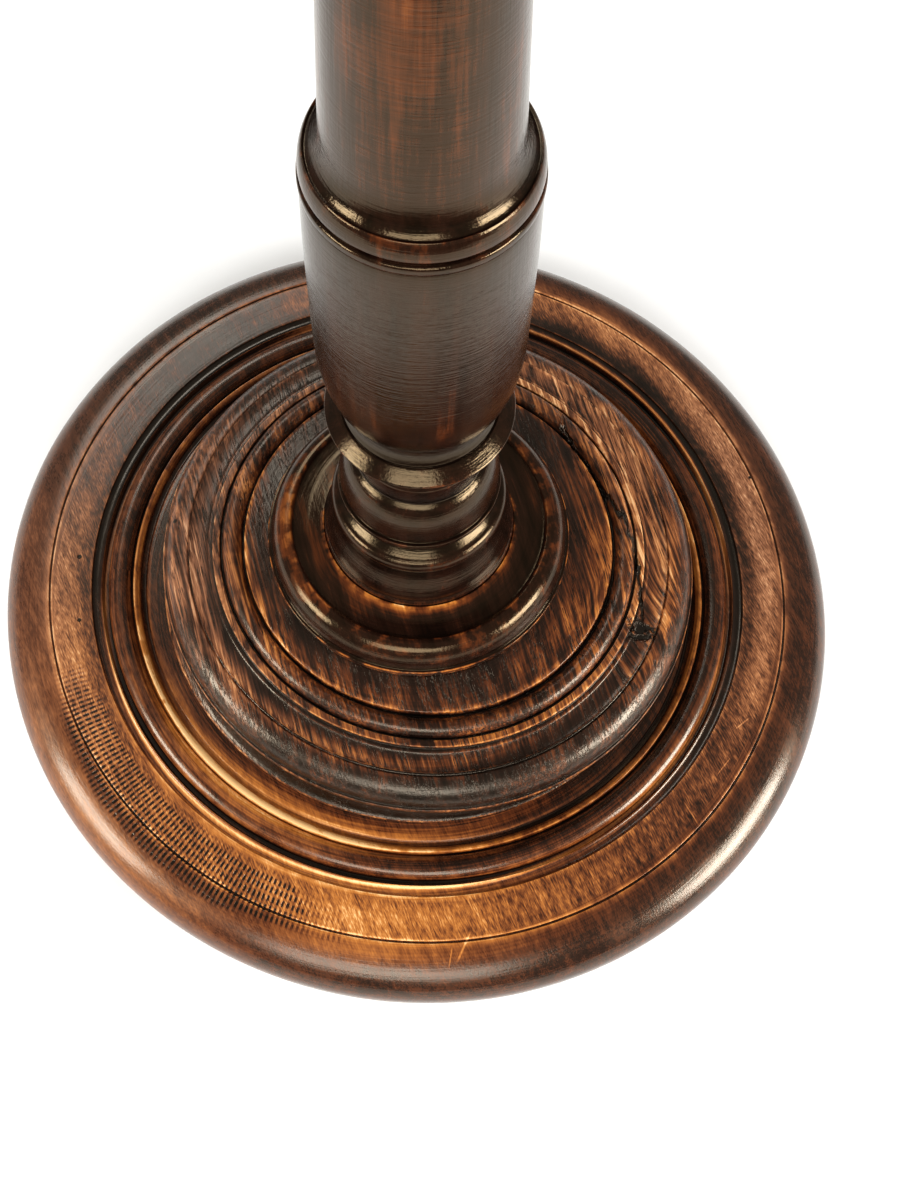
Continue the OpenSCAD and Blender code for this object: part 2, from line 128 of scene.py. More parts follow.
def turned(
    name, outline, closed=False, around=288, step=2.4, bend=18.0, ease=0.5, oval=0.0, aside=0.0,
    rest=0.3, spots=(), painted_sheen=(), tall=False,
):
    """A turned piece: each point (r, z) of the walked outline is carried round the Z axis to
    (r cos a, r sin a, z). Ends on the axis are closed with a fan of triangles. With `oval` the
    disc has dried out of round: r is multiplied by 1 + oval cos 2(a - long way), which fades
    out towards the middle. With `aside` the disc was turned that far off its hole: everything
    outside r = 66 and above the ledge lies that much towards +X. `rest` and `spots` say where
    the finish is rubbed through, the sheen list where a painted sheen greys the colour; with
    `tall` both lie by height instead of radius."""
    path, arris, proud, quirk = walked(outline, closed, ease, step, bend)
    on_axis = path[:, 0] < 1e-3
    rows = path[~on_axis]
    count = len(rows)
    a = np.linspace(0.0, 2 * np.pi, around, endpoint=False)
    r, z = rows[:, :1], rows[:, 1:]
    r = r * (1 + oval * np.clip(r / 50.0 - 0.4, 0.0, 1.0) * np.cos(2 * (a - np.radians(long_way))))
    x = r * np.cos(a) + aside * np.clip(r / 14.0 - 3.7, 0.0, 1.0) * np.clip(z / 8.0 - 3.1, 0.0, 1.0)
    points = np.stack([x, r * np.sin(a), z + 0 * r], axis=2).reshape(-1, 3)
    i = np.arange(count if closed else count - 1)[:, None]
    j = np.arange(around)[None, :]
    i_next = (i + 1) % count
    j_next = (j + 1) % around
    here, there = i * around, i_next * around
    faces = np.stack([here + j, here + j_next, there + j_next, there + j], axis=2)
    faces = faces.reshape(-1, 4).tolist()
    measures = [np.repeat(v[~on_axis], around) for v in (arris, proud, quirk)]
    ring = np.arange(around)
    for end, first in ((0, True), (-1, False)):
        if not closed and on_axis[end]:
            tip = np.full(around, len(points))
            points = np.vstack([points, [0.0, 0.0, path[end, 1]]])
            edge = ring if first else (count - 1) * around + ring
            beyond = np.roll(edge, -1)
            fan = np.stack([tip, beyond, edge] if first else [tip, edge, beyond], axis=1)
            faces += fan.tolist()
            measures = [np.append(v, 0.0) for v in measures]
    mesh = bpy.data.meshes.new(name)
    mesh.from_pydata(points * MM, [], faces)
    mesh.shade_smooth()
    piece = bpy.data.objects.new(name, mesh)
    bpy.context.collection.objects.link(piece)
    place = points[:, 2] if tall else np.hypot(points[:, 0], points[:, 1])
    turn = np.arctan2(points[:, 1], points[:, 0])
    # The last measure is a painted sheen, laid out like the rubbed patches.
    measures += [patches(turn, place, rest, spots), patches(turn, place, 0.0, painted_sheen)]
    for label, values in zip(("arris", "proud", "quirk", "rubbed", "painted_sheen"), measures):
        mesh.attributes.new(label, "FLOAT", "POINT").data.foreach_set("value", values)
    return piece


class Finish:
    """A finish being mixed: short names for the shader nodes that it takes."""

    def __init__(self, name):
        self.material = bpy.data.materials.new(name)
        self.material.use_nodes = True
        self.tree = self.material.node_tree
        self.shader = self.tree.nodes["Principled BSDF"]
        self.here = self.node("TexCoord", {}).outputs["Object"]

    def node(self, kind, sockets, **settings):
        made = self.tree.nodes.new("ShaderNode" + kind)
        for key, value in settings.items():
            setattr(made, key, value)
        for place, value in sockets.items():
            self.fill(made.inputs[place], value)
        return made

    def fill(self, socket, value):
        if isinstance(value, bpy.types.NodeSocket):
            self.tree.links.new(value, socket)
        else:
            socket.default_value = value

    def do(self, operation, a, b=0.0, c=0.0):
        return self.node("Math", {0: a, 1: b, 2: c}, operation=operation).outputs[0]

    def add(self, first, *others):
        for other in others:
            first = self.do("ADD", first, other)
        return first

    def times(self, a, b):
        return self.do("MULTIPLY", a, b)

    def span(self, value, low, high, start=0.0, end=1.0):
        """The value taken smoothly from start, at low, to end, at high."""
        sockets = {"Value": value, "From Min": low, "From Max": high, "To Min": start, "To Max": end}
        return self.node("MapRange", sockets, interpolation_type="SMOOTHSTEP").outputs[0]

    def fibres(self, size, turn=0.0, detail=2.0, rough=0.55, where=None):
        """Noise whose grains have the given size in metres, with Y laid along the grain."""
        sockets = {"Vector": self.here if where is None else where}
        laid = self.node("Mapping", sockets, vector_type="TEXTURE")
        laid.inputs["Rotation"].default_value = (0.0, 0.0, turn)
        laid.inputs["Scale"].default_value = size
        sockets = {"Vector": laid.outputs[0], "Scale": 1.0, "Detail": detail, "Roughness": rough}
        return self.node("TexNoise", sockets).outputs["Fac"]

    def kept(self, name):
        return self.node("Attribute", {}, attribute_name=name).outputs["Fac"]

    def polar(self):
        """Radius from the axis in metres, angle round it and height."""
        split = self.node("SeparateXYZ", {0: self.here})
        x, y, z = split.outputs
        flat = self.node("CombineXYZ", {0: x, 1: y})
        radius = self.node("VectorMath", {0: flat.outputs[0]}, operation="LENGTH").outputs["Value"]
        return radius, self.do("ARCTAN2", y, x), z

    def tool_marks(self, pitch):
        """Noise drawn out round the axis, as a scraper or cloth leaves it on the lathe."""
        radius, angle, z = self.polar()
        cells = self.node("CombineXYZ", {0: self.do("DIVIDE", radius, pitch)})
        self.fill(cells.inputs[1], self.times(angle, 2.0))
        self.fill(cells.inputs[2], self.do("DIVIDE", z, pitch))
        sockets = {"Vector": cells.outputs[0], "Scale": 1.0, "Detail": 3.0, "Roughness": 0.6}
        return self.node("TexNoise", sockets).outputs["Fac"]

    def spot(self, x, y, inner, outer):
        """One within `inner` of the upright line through (x, y), nothing beyond `outer`."""
        split = self.node("SeparateXYZ", {0: self.here})
        flat = self.node("CombineXYZ", {0: split.outputs[0], 1: split.outputs[1]})
        sockets = {0: flat.outputs[0], 1: (x * MM, y * MM, 0.0)}
        gap = self.node("VectorMath", sockets, operation="DISTANCE").outputs["Value"]
        return self.span(gap, inner * MM, outer * MM, 1.0, 0.0)

    def mark(self, x, y, turn, half_wide, half_long):
        """One inside a thin straight mark centred on (x, y), its length turned from Y."""
        laid = self.node("Mapping", {"Vector": self.here}, vector_type="TEXTURE")
        laid.inputs["Location"].default_value = (x * MM, y * MM, 0.0)
        laid.inputs["Rotation"].default_value = (0.0, 0.0, turn)
        laid.inputs["Scale"].default_value = (half_wide * MM, half_long * MM, 1.0)
        split = self.node("SeparateXYZ", {0: laid.outputs[0]})
        across, along = (self.do("ABSOLUTE", split.outputs[k]) for k in (0, 1))
        narrow = self.span(across, 0.3, 1.0, 1.0, 0.0)
        return self.times(narrow, self.span(along, 0.5, 1.0, 1.0, 0.0))

    def ramp(self, value, stops):
        made = self.node("ValToRGB", {0: value})
        band = made.color_ramp
        while len(band.elements) < len(stops):
            band.elements.new(0.5)
        for element, (at, colour) in zip(band.elements, stops):
            element.position = at
            element.color = (*colour, 1.0)
        return made.outputs[0]

    def wood(self, level):
        """Stain worn through to wood as the level goes from 0 to 1, greyer where a sheen is painted.
        """
        clear = self.ramp(level, STAIN_TO_WOOD)
        # Painted sheen: the colour turns to the greyer ramp where the sheen measure is set.
        return self.blend(self.kept("painted_sheen"), clear, self.ramp(level, DUSTY_WOOD_AND_SHEEN))

    def blend(self, share, under, over):
        made = self.node("Mix", {0: share, 6: under, 7: over}, data_type="RGBA")
        return made.outputs[2]

    def finish(
        self, colour, rough, height, depth, coat=0.25, coat_rough=0.22,
        gloss=0.5, tint=(1.0, 0.84, 0.62),
    ):
        """Join colour, roughness and surface height (in units of depth) to the shader; `tint` is
        the colour of its plain reflections and `gloss` their strength."""
        self.fill(self.shader.inputs["Base Color"], colour)
        self.fill(self.shader.inputs["Roughness"], rough)
        relief = self.node("Bump", {"Height": height, "Distance": depth, "Strength": 1.0})
        self.fill(self.shader.inputs["Normal"], relief.outputs[0])
        self.fill(self.shader.inputs["Coat Normal"], relief.outputs[0])
        self.shader.inputs["Specular IOR Level"].default_value = gloss
        self.shader.inputs["Specular Tint"].default_value = (*tint, 1.0)
        self.shader.inputs["Coat Weight"].default_value = coat
        self.shader.inputs["Coat Roughness"].default_value = coat_rough
        return self.material


STAIN_TO_WOOD = [
    (0.00, (0.006, 0.003, 0.002)),
    (0.22, (0.020, 0.008, 0.005)),
    (0.40, (0.096, 0.027, 0.009)),
    (0.56, (0.225, 0.074, 0.019)),
    (0.74, (0.410, 0.150, 0.030)),
    (0.88, (0.560, 0.250, 0.075)),
    (1.00, (0.780, 0.480, 0.220)),
]

# Greyer wood: the dusty bare underside of the plinth, and the colour of the painted sheen.
DUSTY_WOOD_AND_SHEEN = [
    (0.00, (0.010, 0.007, 0.005)),
    (0.22, (0.030, 0.016, 0.011)),
    (0.40, (0.095, 0.040, 0.023)),
    (0.56, (0.210, 0.092, 0.050)),
    (0.74, (0.370, 0.180, 0.100)),
    (0.90, (0.620, 0.360, 0.210)),
]

m = Finish("flecked_wood")
radius, angle, height = m.polar()
fleck = m.fibres((0.00045, 0.0030, 0.00045), 0.43)
band = m.fibres((0.0022, 0.024, 0.0022), 0.43, 3.0)
cloud = m.fibres((0.016, 0.016, 0.016), detail=4.0)
marks = m.tool_marks(0.0007)
broken = m.span(m.fibres((0.007, 0.007, 0.007), detail=3.0), 0.36, 0.56, 0.40, 1.0)
on_flat = m.span(radius, 0.1350, 0.1364, 1.0, 0.0)
on_flat = m.times(m.span(radius, 0.1212, 0.1225), on_flat)
on_roll = m.span(radius, 0.1364, 0.1380)
streaky = m.add(m.span(on_flat, 0.0, 1.0, 0.75, 0.10), m.times(on_roll, -0.55))
ribs = m.span(m.do("SINE", m.add(m.times(angle, 455.0), m.times(cloud, 6.0))), -0.5, 0.6)
rows = m.do("SINE", m.add(m.times(radius, 2050.0), m.times(band, 4.0)))
rows = m.span(rows, -0.9, 0.2, 0.35, 1.0)
struck = m.span(m.add(m.kept("chatter"), m.times(m.add(cloud, -0.5), 0.9)), 0.15, 0.75)
chatter = m.times(struck, m.times(ribs, rows))
scratch = m.add(
    m.mark(16.5, -137.5, -0.43, 0.5, 6.5),
    m.mark(12.0, -141.0, -0.15, 0.35, 4.0),
    m.mark(97.0, -91.0, 0.5, 0.3, 6.0),
    m.mark(110.0, -74.0, -0.7, 0.3, 5.0),
    m.mark(118.0, -58.0, -0.9, 0.35, 4.0),
)
level = m.add(
    m.kept("rubbed"),
    m.times(m.times(m.kept("arris"), broken), 0.45),
    # Darker in quirks and hollows, most on the flat.
    m.times(m.kept("quirk"), m.span(on_flat, 0.0, 1.0, -0.16, -0.30)),
    m.times(m.add(fleck, -0.5), m.span(on_flat, 0.0, 1.0, 0.35, 1.05)),
    m.times(m.add(band, -0.5), m.span(on_flat, 0.0, 1.0, 0.32, 0.60)),
    m.times(m.add(cloud, -0.5), m.span(on_flat, 0.0, 1.0, 0.20, 0.35)),
    m.times(m.add(marks, -0.5), streaky),
    m.times(chatter, -0.58),
    m.times(m.kept("chatter"), -0.14),
    m.times(m.kept("proud"), 0.06),
    m.times(scratch, 0.26),
)
beetle = m.add(
    m.spot(-127.5, 5.5, 0.6, 1.0),
    m.spot(-125.0, -20.0, 0.5, 0.9),
    m.spot(129.0, 42.0, 0.4, 0.7),
)
under = m.span(height, 0.0060, 0.0080, 1.0, 0.0)
under = m.times(m.span(radius, 0.1315, 0.1326, 1.0, 0.0), under)
bare = m.ramp(m.add(fleck, m.times(m.add(cloud, -0.5), 0.5)), DUSTY_WOOD_AND_SHEEN)
# Painted shade: the beetle holes are only dents in the bump and are coloured near black for the shade
# inside them.
colour = m.blend(beetle, m.blend(under, m.wood(level), bare), (0.004, 0.003, 0.002, 1.0))
rough = m.add(
    m.span(level, 0.1, 0.9, 0.24, 0.44),
    m.times(m.add(cloud, -0.5), 0.22),
    m.times(on_flat, 0.08),
)
relief = m.add(
    m.times(fleck, 0.30),
    m.times(marks, 0.45),
    m.times(chatter, -1.2),
    m.times(beetle, -4.0),
)
flecked_wood = m.finish(colour, rough, relief, 0.00012, coat=0.32, coat_rough=0.15)

plinth = turned(
    "plinth_disc_turned",
    [
        [(tenon_hole_r, recess_h + 0.2), (standing_in_r, recess_h + 0.2), (standing_in_r, 0.0)],
        arc(base_r - 4.0, 13.5, 4.0, 13.5, -90, 0),
        arc(137.2, 13.5, base_r - 137.2, 13.5, 0, 90),
        [(137.2, 26.1), (roll_r, 26.1), (roll_r, plinth_t)],
        [(flat_r, plinth_t)],
        arc(119.6, plinth_t, 1.9, 1.1, 0, -180),
        [(hollow_r, plinth_t), (117.2, 24.0), (groove_r, 24.0)],
        arc(bead_r, 25.2, bead_w / 2, 3.2, 0, 180),
        [(106.8, 25.2), (ledge_r, plinth_t)],
        arc(ledge_r, ledge_z, 2.4, 2.5, 90, 180),
        [(102.0, 23.9), (101.4, ledge_z)],
        [(spigot_r + slip, ledge_z), (spigot_r + slip, spigot_z), (tenon_hole_r, spigot_z)],
    ],
    closed=True,
    oval=shrunk,
    rest=0.20,
    spots=[
        (-98, 36, 129, 9, 0.55),
        (-52, 18, 129, 8, 0.10),
        (-12, 26, 131, 6, 0.34),
        (25, 28, 131, 6, 0.34),
        (62, 24, 131, 10, 0.32),
        (105, 14, 130, 8, 0.20),
        (178, 30, 131, 9, 0.30),
        (215, 30, 129, 10, 0.42),
        (220, 24, 148, 8, 0.27),
        (180, 26, 150, 10, 0.14),
        (-95, 20, 141, 4, 0.22),
        (226, 36, 104, 5, 0.42),
        (-108, 36, 101, 6, 0.40),
        (0, 500, 148, 9, 0.03),
        (170, 40, 105, 2, 0.14),
        (222, 34, 111, 4, 0.10),
        (20, 60, 105.5, 1.5, 0.25),
        (0, 500, 117.4, 0.8, 0.70),
        (-100, 45, 119.5, 2.5, 0.25),
        (150, 60, 121.5, 3.5, -0.30),
        (40, 50, 121.0, 3.5, -0.25),
        (120, 40, 129, 9, -0.04),
        (108, 12, 128, 7, 0.22),
        (0, 500, 110.5, 2.8, -0.08),
    ],
    # Painted sheen: grey patches over the flat and the roll on the left, the back left and the right.
    painted_sheen=[
        (168, 42, 138, 20, 0.75),
        (12, 50, 131, 12, 0.85),
        (110, 45, 132, 24, 0.45),
    ],
)
where = np.empty(len(plinth.data.vertices) * 3)
plinth.data.vertices.foreach_get("co", where)
where = where.reshape(-1, 3) / MM
off = (np.degrees(np.arctan2(where[:, 1], where[:, 0])) - 228.0 + 180.0) % 360.0 - 180.0
far = np.hypot(where[:, 0], where[:, 1])
ribbed = np.exp(-((off / 27.0) ** 4) - ((far - 132.2) / 8.6) ** 4)
plinth.data.attributes.new("chatter", "FLOAT", "POINT").data.foreach_set("value", ribbed)
plinth.data.materials.append(flecked_wood)
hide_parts("plinth_disc")
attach(plinth, "root")

# ---------------------------------------------------------------------------------------------
# Stepped disc. An oak disc glued in a shallow recess of the plinth: a deep upright hollow under a
# wide ovolo, a fillet, a small bead and a shelf that rises to the boss. The open grain runs
# almost front to back; a shake runs along it to a dead knot on the right of the ovolo.

ovolo_r, ovolo_in_r, ovolo_z = 95.5, 77.1, 45.5
fillet_r, fillet_z = 73.9, 56.1
step_bead_r, step_bead_d = 69.5, 7.0
shelf_r, shelf_z = 64.8, 58.7
shelf_top_z = 61.5
boss_spigot_r, boss_spigot_z = 48.5, 58.5
knot = (78.0, -33.0)
grain_turn = 0.28

m = Finish("oak")
radius = m.polar()[0]
split = m.node("SeparateXYZ", {0: m.here})
near_knot = m.spot(knot[0], knot[1], 3.0, 24.0)
drawn_in = m.times(m.add(split.outputs[0], -knot[0] * MM), -0.55)
swept = m.add(split.outputs[0], m.times(near_knot, drawn_in))
bent = m.node("CombineXYZ", {0: swept, 1: split.outputs[1], 2: split.outputs[2]}).outputs[0]
streak = m.fibres((0.0011, 0.026, 0.0016), grain_turn, 3.0, 0.6, bent)
pore = m.fibres((0.00042, 0.0070, 0.0005), grain_turn, 2.0, 0.5, bent)
figure = m.fibres((0.005, 0.050, 0.006), grain_turn, 2.0, 0.5, bent)
cloud = m.fibres((0.015, 0.015, 0.015), detail=4.0)
marks = m.tool_marks(0.0009)
broken = m.span(m.fibres((0.006, 0.006, 0.006), detail=3.0), 0.36, 0.56, 0.30, 1.0)
open_pore = m.times(m.span(pore, 0.54, 0.64), m.span(figure, 0.38, 0.60))
middle = m.node("FloatCurve", {"Value": m.span(split.outputs[1], -0.034, 0.056)})
line = middle.mapping.curves[0]
for at, across in ((0.30, 0.80), (0.62, 0.56)):
    line.points.new(at, across)
line.points[0].location = (0.0, 0.86)
line.points[-1].location = (1.0, 0.10)
middle.mapping.update()
wander = m.times(m.add(m.fibres((0.003, 0.008, 0.003), detail=3.0), -0.5), 0.006)
curve = m.times(middle.outputs[0], -0.036)
aside = m.do("ABSOLUTE", m.add(split.outputs[0], curve, -0.0475, wander))
within = m.span(split.outputs[1], 0.040, 0.058, 1.0, 0.0)
within = m.times(m.span(split.outputs[1], -0.036, -0.028), within)
within = m.times(within, m.span(radius, 0.058, 0.063))
shake = m.times(m.span(aside, 0.0002, 0.0011, 1.0, 0.0), within)
ragged = m.times(m.add(m.fibres((0.003, 0.003, 0.003), detail=3.0), -0.5), 0.014)
flat = m.node("CombineXYZ", {0: split.outputs[0], 1: split.outputs[1]})
sockets = {0: flat.outputs[0], 1: (knot[0] * MM, knot[1] * MM, 0.0)}
from_knot = m.node("VectorMath", sockets, operation="DISTANCE")
hole = m.span(m.add(from_knot.outputs["Value"], ragged), 0.0022, 0.0042, 1.0, 0.0)
level = m.add(
    m.kept("rubbed"),
    m.times(m.times(m.kept("arris"), broken), 0.42),
    # Darker in quirks and hollows.
    m.times(m.kept("quirk"), -0.30),
    m.times(m.add(streak, -0.5), m.span(m.kept("rubbed"), 0.15, 0.60, 0.55, 1.9)),
    m.times(m.times(m.kept("proud"), m.span(streak, 0.46, 0.62)), 0.15),
    m.times(m.add(figure, -0.5), 0.60),
    m.times(m.add(cloud, -0.5), 0.45),
    m.times(m.add(marks, -0.5), 0.18),
    m.times(open_pore, -0.30),
    m.times(near_knot, -0.10),
)
colour = m.wood(level)
# Painted shade: the shake, the knot hole and the beetle hole are only dents in the bump and are
# coloured near black for the shade inside them.
gone = m.do("MAXIMUM", shake, hole)
beetle = m.spot(-88.0, 9.0, 0.6, 1.0)
colour = m.blend(m.do("MAXIMUM", gone, beetle), colour, (0.006, 0.004, 0.003, 1.0))
rough = m.add(
    m.span(level, 0.1, 0.9, 0.28, 0.46),
    m.times(m.add(cloud, -0.5), 0.25),
    m.times(open_pore, 0.15),
)
relief = m.add(
    m.times(streak, 0.9),
    m.times(open_pore, -0.8),
    m.times(marks, 0.4),
    m.times(gone, -9.0),
)
oak = m.finish(colour, rough, relief, 0.00018)

stepped = turned(
    "stepped_disc_turned",
    [
        [(tenon_hole_r, spigot_z), (spigot_r, spigot_z), (spigot_r, ledge_z), (95.0, ledge_z)],
        arc(95.0, 34.2, 3.0, 8.5, -90, -270),
        [(95.7, 42.7), (95.7, 45.1), (94.7, 45.1)],
        arc(85.93, ovolo_z, 8.77, 7.95, 0, 90),
        [(85.33, 52.85), (84.73, 53.45)],
        arc(81.5, 55.1, 3.4, 0.7, 0, -180),
        [(ovolo_in_r, 55.1), (76.5, 55.1), (76.5, 56.8)],
        [(fillet_r, 56.8), (fillet_r, 55.1), (73.0, 55.1)],
        arc(step_bead_r, fillet_z, step_bead_d / 2, step_bead_d / 2, 0, 180),
        [(65.4, fillet_z), (shelf_r, shelf_z), (boss_spigot_r + slip, shelf_top_z)],
        [(boss_spigot_r + slip, boss_spigot_z), (tenon_hole_r, boss_spigot_z)],
    ],
    closed=True,
    oval=shrunk,
    aside=3.6,
    # Painted sheen: grey patches on the ovolo to the left, the back left, the back right and the
    # front.
    painted_sheen=[
        (185, 50, 82, 14, 0.85),
        (30, 55, 84, 12, 0.55),
        (110, 50, 80, 18, 0.60),
        (-90, 50, 90, 8, 0.30),
    ],
    rest=0.14,
    spots=[
        (25, 48, 84, 10, 0.42),
        (-20, 22, 90, 6, 0.30),
        (-15, 45, 62, 8, 0.28),
        (195, 45, 80, 6, 0.36),
        (180, 40, 90, 6, 0.22),
        (195, 55, 62, 7, 0.28),
        (90, 50, 80, 10, 0.20),
        (-90, 60, 81, 3, 0.30),
        (-90, 50, 59, 5, 0.12),
        (-90, 34, 90, 5, -0.10),
        (40, 70, 76, 2, 0.15),
    ],
)
stepped.data.materials.append(oak)
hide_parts("stepped_disc")
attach(stepped, "root")

# ---------------------------------------------------------------------------------------------
# Boss. A smaller turned disc glued into the top of the stepped disc, with a bold rounded edge
# and a dished top. Stained near black; only its arris and the ring where the stem stands are
# rubbed back to orange.

dish_r, dish_z = 44.2, 74.9
boss_r, boss_edge_z = 52.8, 65.3
foot_r, foot_z = 32.4, 75.5


def dark_wood(name, turn, long_grain, redness, wear=0.45):
    """Near-black stain over reddish wood. Fibres run along Y turned by `turn`, or up the piece
    with long_grain; `redness` lifts the streaks, `wear` how far arrises are rubbed."""
    m = Finish(name)
    fibre = (0.0009, 0.0009, 0.040) if long_grain else (0.0009, 0.018, 0.0012)
    wide = (0.005, 0.005, 0.090) if long_grain else (0.005, 0.045, 0.006)
    streak = m.fibres(fibre, turn, 3.0, 0.6)
    figure = m.fibres(wide, turn, 3.0)
    cloud = m.fibres((0.014, 0.014, 0.014), detail=4.0)
    marks = m.tool_marks(0.0006)
    broken = m.span(m.fibres((0.006, 0.006, 0.006), detail=3.0), 0.38, 0.60)
    level = m.add(
        m.kept("rubbed"),
        m.times(m.times(m.kept("arris"), broken), wear),
        # Darker in quirks and hollows.
        m.times(m.kept("quirk"), -0.30),
        m.times(m.times(m.kept("proud"), broken), wear * 0.3),
        m.times(m.add(streak, -0.5), 0.30 * redness),
        m.times(m.add(figure, -0.5), 0.55 * redness),
        m.times(m.add(cloud, -0.5), 0.25),
        m.times(m.add(marks, -0.5), 0.22),
    )
    colour = m.wood(level)
    rough = m.add(m.span(level, 0.1, 0.8, 0.13, 0.30), m.times(m.add(cloud, -0.5), 0.20))
    relief = m.add(m.times(streak, 0.5), m.times(marks, 0.55), m.times(cloud, 0.7))
    shine = {"coat": 0.10, "coat_rough": 0.10, "gloss": 0.42, "tint": (1.0, 0.72, 0.38)}
    return m.finish(colour, rough, relief, 0.00012, **shine)


boss = turned(
    "boss_disc_turned",
    [
        [(tenon_hole_r, boss_spigot_z), (boss_spigot_r, boss_spigot_z)],
        [(boss_spigot_r, shelf_top_z)],
        [(51.6, shelf_top_z), (51.6, 62.3), (boss_r, 62.3)],
        [(boss_r, boss_edge_z), (51.6, boss_edge_z)],
        arc(44.8, boss_edge_z, 6.8, 9.6, 0, 90),
        [(dish_r, dish_z), (43.2, 73.9), (38.3, 73.9)],
        [(32.55, foot_z), (32.55, 73.5), (tenon_hole_r, 73.5)],
    ],
    closed=True,
    step=1.6,
    rest=0.13,
    spots=[
        (-90, 50, 33.8, 1.6, 0.34),
        (-120, 60, 38, 4, 0.10),
        (180, 50, 38, 5, 0.10),
        (175, 30, 46, 3, 0.22),
        (20, 60, 40, 4, 0.08),
    ],
)
boss.data.materials.append(dark_wood("boss_stain", 0.3, False, 1.0))
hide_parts("boss_disc")
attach(boss, "root")

# ---------------------------------------------------------------------------------------------
# Baluster. The lower stem, one length of wood turned between centres: through tenon, foot, ring,
# bell, narrow neck, knop and vase. Its upright grain shows red through the black on the vase.

ring_z, ring_r = 96.5, 28.8
bell_z, bell_r = 107.6, 26.2
neck_r, neck_z = 19.0, 135.5
knop_r, knop_z = 28.0, 153.5
vase_r, vase_z, belly_z = 28.4, 164.1, 191.9
throat_r, collar_z = 21.5, 256.6


def ogee(p, q, n=14):
    """Points from p to q along z, with r eased from one to the other by a half cosine."""
    t = np.linspace(0.0, 1.0, n + 1)
    eased = (1 - np.cos(np.pi * t)) / 2
    return np.column_stack([p[0] + (q[0] - p[0]) * eased, p[1] + (q[1] - p[1]) * t])


baluster = turned(
    "baluster_turned",
    [
        [(0.0, recess_h + 0.1), (15.0, recess_h + 0.1), (15.0, 73.5)],
        [(foot_r, 73.5), (foot_r, 77.1)],
        ogee((31.6, 77.9), (ring_r - 1, ring_z - 3.4)),
        arc(ring_r - 3, ring_z, 3, 3.4, -60, 80),
        arc(ring_r - 0.5, ring_z + 8, 5.5, 4.2, 225, 150, 8),
        [(bell_r, bell_z), (bell_r, bell_z + 2)],
        [(bell_r - 1.4, bell_z + 2), (bell_r - 1.4, bell_z + 4)],
        arc(neck_r, bell_z + 4, bell_r - 0.6 - neck_r, 16.2, 0, 80),
        arc(neck_r + 4, neck_z + 8.6, 4.5, 8.6, 240, 130),
        [(knop_r - 1.4, knop_z - 1.6), (knop_r, knop_z)],
        [(knop_r - 4.6, knop_z + 3.5), (knop_r - 5.0, knop_z + 3.1)],
        arc(throat_r + 2, vase_z - 0.5, 2, vase_z - 4.0 - knop_z, 250, 180, 8),
        [(throat_r, vase_z), (throat_r + 0.8, vase_z + 0.8)],
        arc(throat_r, belly_z, 6.9, belly_z - vase_z - 2, -80, 0),
        arc(vase_r - 1.2, belly_z, 1.2, collar_z - 3 - belly_z, 0, 90),
        [(vase_r - 0.6, collar_z - 2.6), (vase_r - 0.6, collar_z - 0.6), (vase_r - 1.2, collar_z)],
        [(12.65, collar_z), (12.65, 222.6), (0.0, 222.6)],
    ],
    around=224,
    step=1.8,
    rest=0.10,
    tall=True,
    spots=[
        (-95, 70, 184, 12, 0.07),
        (-90, 400, 166, 8, -0.05),
        (-90, 400, 77, 2, 0.10),
        # This row makes the hollow between the ring and the bell's fillet darker.
        (-90, 400, 104, 3, -0.12),
        (-80, 40, 231, 20, 0.06),
    ],
)
stem_stain = dark_wood("stem_stain", 0.0, True, 1.0, 0.12)
baluster.data.materials.append(stem_stain)
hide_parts("baluster")
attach(baluster, "root")

# ---------------------------------------------------------------------------------------------
# Wedge, screws and dowels. Hidden joinery: a pale wedge spreads the stem's tenon from below, four
# countersunk steel screws draw the plinth up to the oak, three birch dowels pin the boss.


def plain_joinery_wood():
    """Unstained pale wood with fine upright fibres."""
    m = Finish("pale_wood")
    fibre = m.fibres((0.0004, 0.0004, 0.008), 0.0, 3.0)
    cloud = m.fibres((0.006, 0.006, 0.006), detail=3.0)
    level = m.add(m.times(fibre, 0.7), m.times(cloud, 0.3))
    shades = [(0.25, (0.20, 0.10, 0.04)), (0.55, (0.42, 0.26, 0.12)), (0.8, (0.58, 0.40, 0.21))]
    colour = m.ramp(level, shades)
    return m.finish(colour, m.span(cloud, 0.3, 0.7, 0.55, 0.75), fibre, 0.00008, coat=0.0)


def screw_steel():
    """Dull bright steel, brushed round by the driver and freckled with old rust."""
    m = Finish("screw_steel")
    brushed = m.fibres((0.0002, 0.0012, 0.0004), 0.6, 2.0)
    rust = m.span(m.fibres((0.0016, 0.0016, 0.0016), detail=4.0), 0.52, 0.66)
    steel = m.ramp(brushed, [(0.3, (0.20, 0.19, 0.18)), (0.7, (0.34, 0.33, 0.31))])
    colour = m.blend(rust, steel, (0.10, 0.035, 0.015, 1.0))
    m.fill(m.shader.inputs["Metallic"], m.span(rust, 0.0, 1.0, 1.0, 0.1))
    return m.finish(colour, m.span(rust, 0.0, 1.0, 0.35, 0.8), brushed, 0.00003, coat=0.0)


pale = plain_joinery_wood()
steel = screw_steel()
for name, finish in (("tenon_wedge", pale), ("boss_dowels", pale), ("base_screws", steel)):
    part = bpy.data.objects[name]
    part.data.materials.clear()
    part.data.materials.append(finish)

# ---------------------------------------------------------------------------------------------
# Upper shaft. The long plain length of the stem above the collar, turned with the collar's lip
# at its foot and a round tenon at each end; the lower one is glued into the vase.

